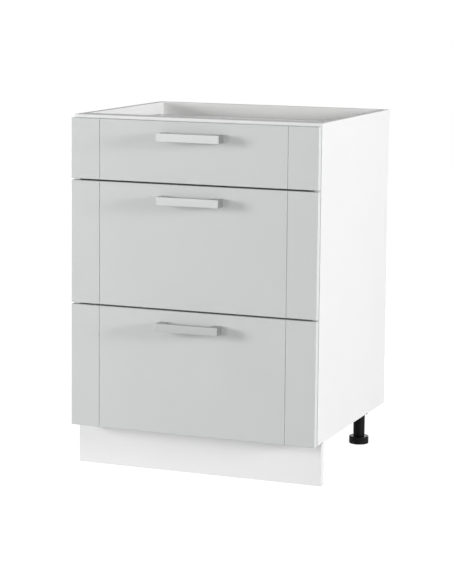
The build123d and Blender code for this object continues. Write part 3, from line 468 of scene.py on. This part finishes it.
lacquer, tree, shader, coordinates = start_material(
    "pale_grey_matt_lacquer", ior=1.5, specular_ior_level=0.3)
spray = add_node(tree, "ShaderNodeTexNoise", inputs={
    "Vector": coordinates.outputs["Object"], "Scale": 1 / SPRAY, "Detail": 2.0})
cloud = add_node(tree, "ShaderNodeTexNoise", inputs={
    "Vector": coordinates.outputs["Object"], "Scale": 1 / LACQUER_DRIFT, "Detail": 1.0})
face_colour = add_node(tree, "ShaderNodeMix", {"data_type": "RGBA"}, {
    0: cloud.outputs["Fac"], 6: linear("#CED1D0"), 7: linear("#D2D5D4")})
facing = add_node(tree, "ShaderNodeSeparateXYZ", inputs={"Vector": coordinates.outputs["Normal"]})
# The upright edges get a lighter colour: partly a paler edge, partly a painted highlight of the side lights.
sideways = add_node(tree, "ShaderNodeMath", {"operation": "ABSOLUTE"}, {0: facing.outputs["X"]})
pale_lit_edge_mask = add_node(tree, "ShaderNodeMath", {"operation": "GREATER_THAN"}, {0: sideways.outputs[0], 1: 0.9})
behind = add_node(tree, "ShaderNodeMath", {"operation": "GREATER_THAN"}, {0: facing.outputs["Y"], 1: 0.5})
with_pale_lit_edges = add_node(tree, "ShaderNodeMix", {"data_type": "RGBA"}, {
    0: pale_lit_edge_mask.outputs[0], 6: face_colour.outputs[2], 7: linear("#E2E4E3")})
colour = add_node(tree, "ShaderNodeMix", {"data_type": "RGBA"}, {
    0: behind.outputs[0], 6: with_pale_lit_edges.outputs[2], 7: linear("#EDEDEC")})
gloss = add_node(tree, "ShaderNodeMapRange", inputs={
    "Value": spray.outputs["Fac"], "To Min": 0.6, "To Max": 0.7})
relief = add_node(tree, "ShaderNodeBump", inputs={
    "Height": spray.outputs["Fac"], "Strength": 0.06, "Distance": 0.15 * MM})
tree.links.new(colour.outputs[2], shader.inputs["Base Color"])
tree.links.new(gloss.outputs["Result"], shader.inputs["Roughness"])
tree.links.new(relief.outputs["Normal"], shader.inputs["Normal"])
dress(lacquer, *[f"{level}_drawer_front" for level in LEVELS])


# Handles: flat bows fixed through the fronts with two screws each.
# Aluminium bar, milled to a bow, brushed lengthways and anodised; the oxide film is matt and
# scatters part of the light, and the brushing draws fine lines along the bar.
BRUSH_LINE = 0.6 * MM  # the real lines are finer; drawn coarser so that they show
BRUSH_LENGTH = 40 * MM

aluminium, tree, shader, coordinates = start_material("brushed_aluminium", metallic=0.6)
stroke = add_node(tree, "ShaderNodeMapping", inputs={
    "Vector": coordinates.outputs["Object"], "Scale": (1 / BRUSH_LENGTH, 1 / BRUSH_LINE, 1 / BRUSH_LINE)})
lines = add_node(tree, "ShaderNodeTexNoise", inputs={
    "Vector": stroke.outputs["Vector"], "Scale": 1.0, "Detail": 3.0, "Roughness": 0.6})
colour = add_node(tree, "ShaderNodeMix", {"data_type": "RGBA"}, {
    0: lines.outputs["Fac"], 6: linear("#999B9A"), 7: linear("#A8AAA9")})
gloss = add_node(tree, "ShaderNodeMapRange", inputs={
    "Value": lines.outputs["Fac"], "To Min": 0.36, "To Max": 0.46})
relief = add_node(tree, "ShaderNodeBump", inputs={
    "Height": lines.outputs["Fac"], "Strength": 0.12, "Distance": 0.1 * MM})
tree.links.new(colour.outputs[2], shader.inputs["Base Color"])
tree.links.new(gloss.outputs["Result"], shader.inputs["Roughness"])
tree.links.new(relief.outputs["Normal"], shader.inputs["Normal"])

HANDLE_HALF = 75 * MM
HANDLE_LEG = 20 * MM
HANDLE_BAR = 8 * MM
HANDLE_HEIGHT = 18.5 * MM
HANDLE_DROP = 34.5 * MM
HANDLE_CORNER = 0.8 * MM
HANDLE_INNER_CORNER = 5 * MM
HANDLE_RIM = 0.3 * MM
FACE_Y = -245 * MM
HANDLE_FRONT_Y = -275 * MM
SAME_PLACE = 0.001 * MM
inner_half = HANDLE_HALF - HANDLE_LEG
inner_y = HANDLE_FRONT_Y + HANDLE_BAR
bow_outline = (
    (-HANDLE_HALF, FACE_Y), (-HANDLE_HALF, HANDLE_FRONT_Y), (HANDLE_HALF, HANDLE_FRONT_Y),
    (HANDLE_HALF, FACE_Y), (inner_half, FACE_Y), (inner_half, inner_y), (-inner_half, inner_y),
    (-inner_half, FACE_Y))
for level in LEVELS:
    underside = FRONT_BOTTOMS[level] + FRONT_HEIGHTS[level] - HANDLE_DROP - HANDLE_HEIGHT / 2
    shape = bmesh.new()
    outline = [shape.verts.new((x, y, underside)) for x, y in bow_outline]
    bow = bmesh.ops.extrude_face_region(shape, geom=[shape.faces.new(outline)])["geom"]
    upper_points = [item for item in bow if isinstance(item, bmesh.types.BMVert)]
    bmesh.ops.translate(shape, verts=upper_points, vec=(0, 0, HANDLE_HEIGHT))
    upright = [e for e in shape.edges if e.verts[0].co.xy == e.verts[1].co.xy]
    for corner_y, radius in ((HANDLE_FRONT_Y, HANDLE_CORNER), (inner_y, HANDLE_INNER_CORNER)):
        corners = [e for e in upright if e.is_valid and abs(e.verts[0].co.y - corner_y) < SAME_PLACE]
        bmesh.ops.bevel(shape, geom=corners, offset=radius, affect="EDGES", segments=6, profile=0.5,
                        material=-1)
    rims = [e for e in shape.edges if e.verts[0].co.z == e.verts[1].co.z
            and not all(abs(v.co.y - FACE_Y) < SAME_PLACE for v in e.verts)]
    bmesh.ops.bevel(shape, geom=rims, offset=HANDLE_RIM, affect="EDGES", segments=2, profile=0.5,
                    material=-1)
    finish_piece(f"{level}_drawer_bow_handle", shape, aluminium, f"{level}_drawer", "handle_metal",
                 f"{level}_drawer_handle")


# Screws of each drawer: four that hold its runners and two machine screws through the front.
# Zinc-plated steel with cross slots.
SEAT_SCREW_X = 266.5 * MM
SEAT_SCREW_Y = (-169 * MM, 119 * MM)
SEAT_SCREW_DROP = 1.2 * MM
HANDLE_SCREW_X = 64 * MM
HANDLE_SCREW_HEAD = 3.9 * MM
HANDLE_SCREW_HEAD_HEIGHT = 2.6 * MM
HANDLE_SCREW_DOME = 0.9 * MM
HANDLE_SCREW_SLOT = 1.1 * MM
HANDLE_SCREW_SHANK = 1.7 * MM
HANDLE_SCREW_LENGTH = 27 * MM
FRONT_REAR_Y = -229 * MM
for level in LEVELS:
    shape = bmesh.new()
    for x in (-SEAT_SCREW_X, SEAT_SCREW_X):
        for y in SEAT_SCREW_Y:
            add_board_screw(shape, (x, y, FRONT_BOTTOMS[level] + BOX_LIFT - SEAT_SCREW_DROP), (0, 0, -1))
    for x in (-HANDLE_SCREW_X, HANDLE_SCREW_X):
        seat = (x, FRONT_REAR_Y, FRONT_BOTTOMS[level] + FRONT_HEIGHTS[level] - HANDLE_DROP)
        place = facing_place(seat, (0, 1, 0))
        add_cross_head(shape, place, HANDLE_SCREW_HEAD, HANDLE_SCREW_HEAD_HEIGHT, HANDLE_SCREW_DOME,
                       HANDLE_SCREW_SLOT)
        shank = place @ Matrix.Translation((0, 0, -HANDLE_SCREW_LENGTH / 2))
        bmesh.ops.create_cone(shape, cap_ends=True, segments=SHANK_SIDES, radius1=HANDLE_SCREW_SHANK,
                              radius2=HANDLE_SCREW_SHANK, depth=HANDLE_SCREW_LENGTH, matrix=shank)
    finish_piece(f"{level}_drawer_pan_head_screws", shape, zinc, f"{level}_drawer", "zinc_steel",
                 f"{level}_drawer_screws")


# Bumpers: four pale dots behind each front, which meet the edges of the side panels.
# Soft polyurethane domes, stuck on.
HAZE = 3 * MM

polyurethane, tree, shader, coordinates = start_material("soft_polyurethane", ior=1.5)
haze = add_node(tree, "ShaderNodeTexNoise", inputs={
    "Vector": coordinates.outputs["Object"], "Scale": 1 / HAZE})
colour = add_node(tree, "ShaderNodeMix", {"data_type": "RGBA"}, {
    0: haze.outputs["Fac"], 6: linear("#C9CCCA"), 7: linear("#DADCDA")})
gloss = add_node(tree, "ShaderNodeMapRange", inputs={
    "Value": haze.outputs["Fac"], "To Min": 0.24, "To Max": 0.36})
tree.links.new(colour.outputs[2], shader.inputs["Base Color"])
tree.links.new(gloss.outputs["Result"], shader.inputs["Roughness"])

BUMPER_OUTLINE = millimetres((0, 0), (4, 0), (4, 0.6), (3.6, 1.3), (2.4, 1.7), (0, 1.8))
BUMPER_STEPS = 24
BUMPER_X = 292 * MM
BUMPER_INSET = 22 * MM
for level in LEVELS:
    lower = FRONT_BOTTOMS[level] + BUMPER_INSET
    upper = FRONT_BOTTOMS[level] + FRONT_HEIGHTS[level] - BUMPER_INSET
    shape = bmesh.new()
    for x in (-BUMPER_X, BUMPER_X):
        for z in (lower, upper):
            place = facing_place((x, FRONT_REAR_Y, z), (0, 1, 0))
            turned(shape, BUMPER_OUTLINE, place, BUMPER_STEPS)
    finish_piece(f"{level}_drawer_bumpers", shape, polyurethane, f"{level}_drawer", "roller_plastic")


# Floor and studio light: a pale floor that keeps the shadow, and soft boxes all round.
# The left one casts the handles' shadows, the right one lights the side panel, a low one in
# front is the sheen on the handles, and a low one behind lights the back.
def seen_directly(tree):
    """A socket that is 1 for what the camera, gloss or glass sees, and 0 for light that bounces."""
    path = add_node(tree, "ShaderNodeLightPath")
    gloss = add_node(tree, "ShaderNodeMath", {"operation": "MAXIMUM"}, {
        0: path.outputs["Is Glossy Ray"], 1: path.outputs["Is Transmission Ray"]})
    return add_node(tree, "ShaderNodeMath", {"operation": "MAXIMUM"}, {
        0: path.outputs["Is Camera Ray"], 1: gloss.outputs[0]}).outputs[0]


WHITE = linear("#FFFFFF")
FLOOR_HALF = 12.0  # metres
FLOOR_VEIL = 0.93  # own brightness of the floor as the camera sees it

floor_paint = bpy.data.materials.new("pale_floor")
floor_paint.use_nodes = True
tree = floor_paint.node_tree
tree.nodes.clear()
matt = add_node(tree, "ShaderNodeBsdfDiffuse", inputs={"Color": linear("#CDCDCD")})
veil = add_node(tree, "ShaderNodeEmission", inputs={"Color": WHITE, "Strength": FLOOR_VEIL})
shadow_catch = add_node(tree, "ShaderNodeBsdfDiffuse", inputs={"Color": linear("#959595")})
bright = add_node(tree, "ShaderNodeAddShader", inputs={0: veil.outputs[0], 1: shadow_catch.outputs[0]})
surface = add_node(tree, "ShaderNodeMixShader", inputs={
    0: seen_directly(tree), 1: matt.outputs[0], 2: bright.outputs[0]})
add_node(tree, "ShaderNodeOutputMaterial", inputs={"Surface": surface.outputs[0]})
shape = bmesh.new()
bmesh.ops.create_grid(shape, x_segments=2, y_segments=2, size=FLOOR_HALF)
floor_mesh = bpy.data.meshes.new("floor")
shape.to_mesh(floor_mesh)
shape.free()
floor_mesh.materials.append(floor_paint)
floor = bpy.data.objects.new("floor", floor_mesh)
bpy.context.scene.collection.objects.link(floor)

AMBIENT_AT_HORIZON = 0.61
AMBIENT_AT_CEILING = 0.08
world = bpy.data.worlds.new("studio")
bpy.context.scene.world = world
world.use_nodes = True
tree = world.node_tree
tree.nodes.clear()
direction = add_node(tree, "ShaderNodeTexCoord")
height = add_node(tree, "ShaderNodeSeparateXYZ", inputs={"Vector": direction.outputs["Generated"]})
fade = add_node(tree, "ShaderNodeMapRange", inputs={
    "Value": height.outputs["Z"], "To Min": AMBIENT_AT_HORIZON, "To Max": AMBIENT_AT_CEILING})
soft = add_node(tree, "ShaderNodeBackground", inputs={
    "Color": WHITE, "Strength": fade.outputs["Result"]})
white = add_node(tree, "ShaderNodeBackground", inputs={"Color": WHITE, "Strength": 1.0})
sky = add_node(tree, "ShaderNodeMixShader", inputs={
    0: seen_directly(tree), 1: soft.outputs[0], 2: white.outputs[0]})
add_node(tree, "ShaderNodeOutputWorld", inputs={"Surface": sky.outputs[0]})

LIT_POINT = Vector((0, 0, 0.45))
SOFT_BOXES = (  # name, place and size in metres, power in watts
    ("left_soft_box", (-5.43, -3.01, 1.35), 1.5, 231.0),
    ("front_soft_box", (-1.2, -3.23, 0.6), 0.5, 14.5),
    ("right_soft_box", (7.2, -1.6, 1.8), 1.2, 344.0),
    ("rear_soft_box", (-1.0, 6.2, 0.6), 1.0, 170.0),
)
for name, place, size, power in SOFT_BOXES:
    lamp = bpy.data.lights.new(name, "AREA")
    lamp.size = size
    lamp.energy = power
    soft_box = bpy.data.objects.new(name, lamp)
    soft_box.location = place
    soft_box.rotation_euler = (LIT_POINT - Vector(place)).to_track_quat("-Z", "Y").to_euler()
    bpy.context.scene.collection.objects.link(soft_box)


# Camera: a long lens, slightly above the cabinet and to its right.
# Its place and angles were fitted to the edges of the object in the photo.
IMAGE_HEIGHT = 584
FOCAL_PIXELS = 2046
SHIFT_PIXELS = -70
SENSOR = 36.0
CAMERA_PLACE = (1.730, -4.459, 1.161)
YAW, PITCH, ROLL = radians(21.35), radians(7.15), radians(0.55)
camera_data = bpy.data.cameras.new("camera")
camera_data.sensor_width = SENSOR
camera_data.lens = FOCAL_PIXELS * SENSOR / IMAGE_HEIGHT
camera_data.shift_y = SHIFT_PIXELS / IMAGE_HEIGHT
camera_data.dof.use_dof = False
forward = Vector((-sin(YAW) * cos(PITCH), cos(YAW) * cos(PITCH), -sin(PITCH)))
level_axis = Vector((cos(YAW), sin(YAW), 0))
upright_axis = level_axis.cross(forward)
across = level_axis * cos(ROLL) + upright_axis * sin(ROLL)
upwards = upright_axis * cos(ROLL) - level_axis * sin(ROLL)
camera = bpy.data.objects.new("camera", camera_data)
aim = Matrix((across, upwards, -forward)).transposed().to_4x4()
camera.matrix_world = Matrix.Translation(CAMERA_PLACE) @ aim
bpy.context.scene.collection.objects.link(camera)
bpy.context.scene.camera = camera
bpy.context.scene.view_settings.view_transform = "Standard"
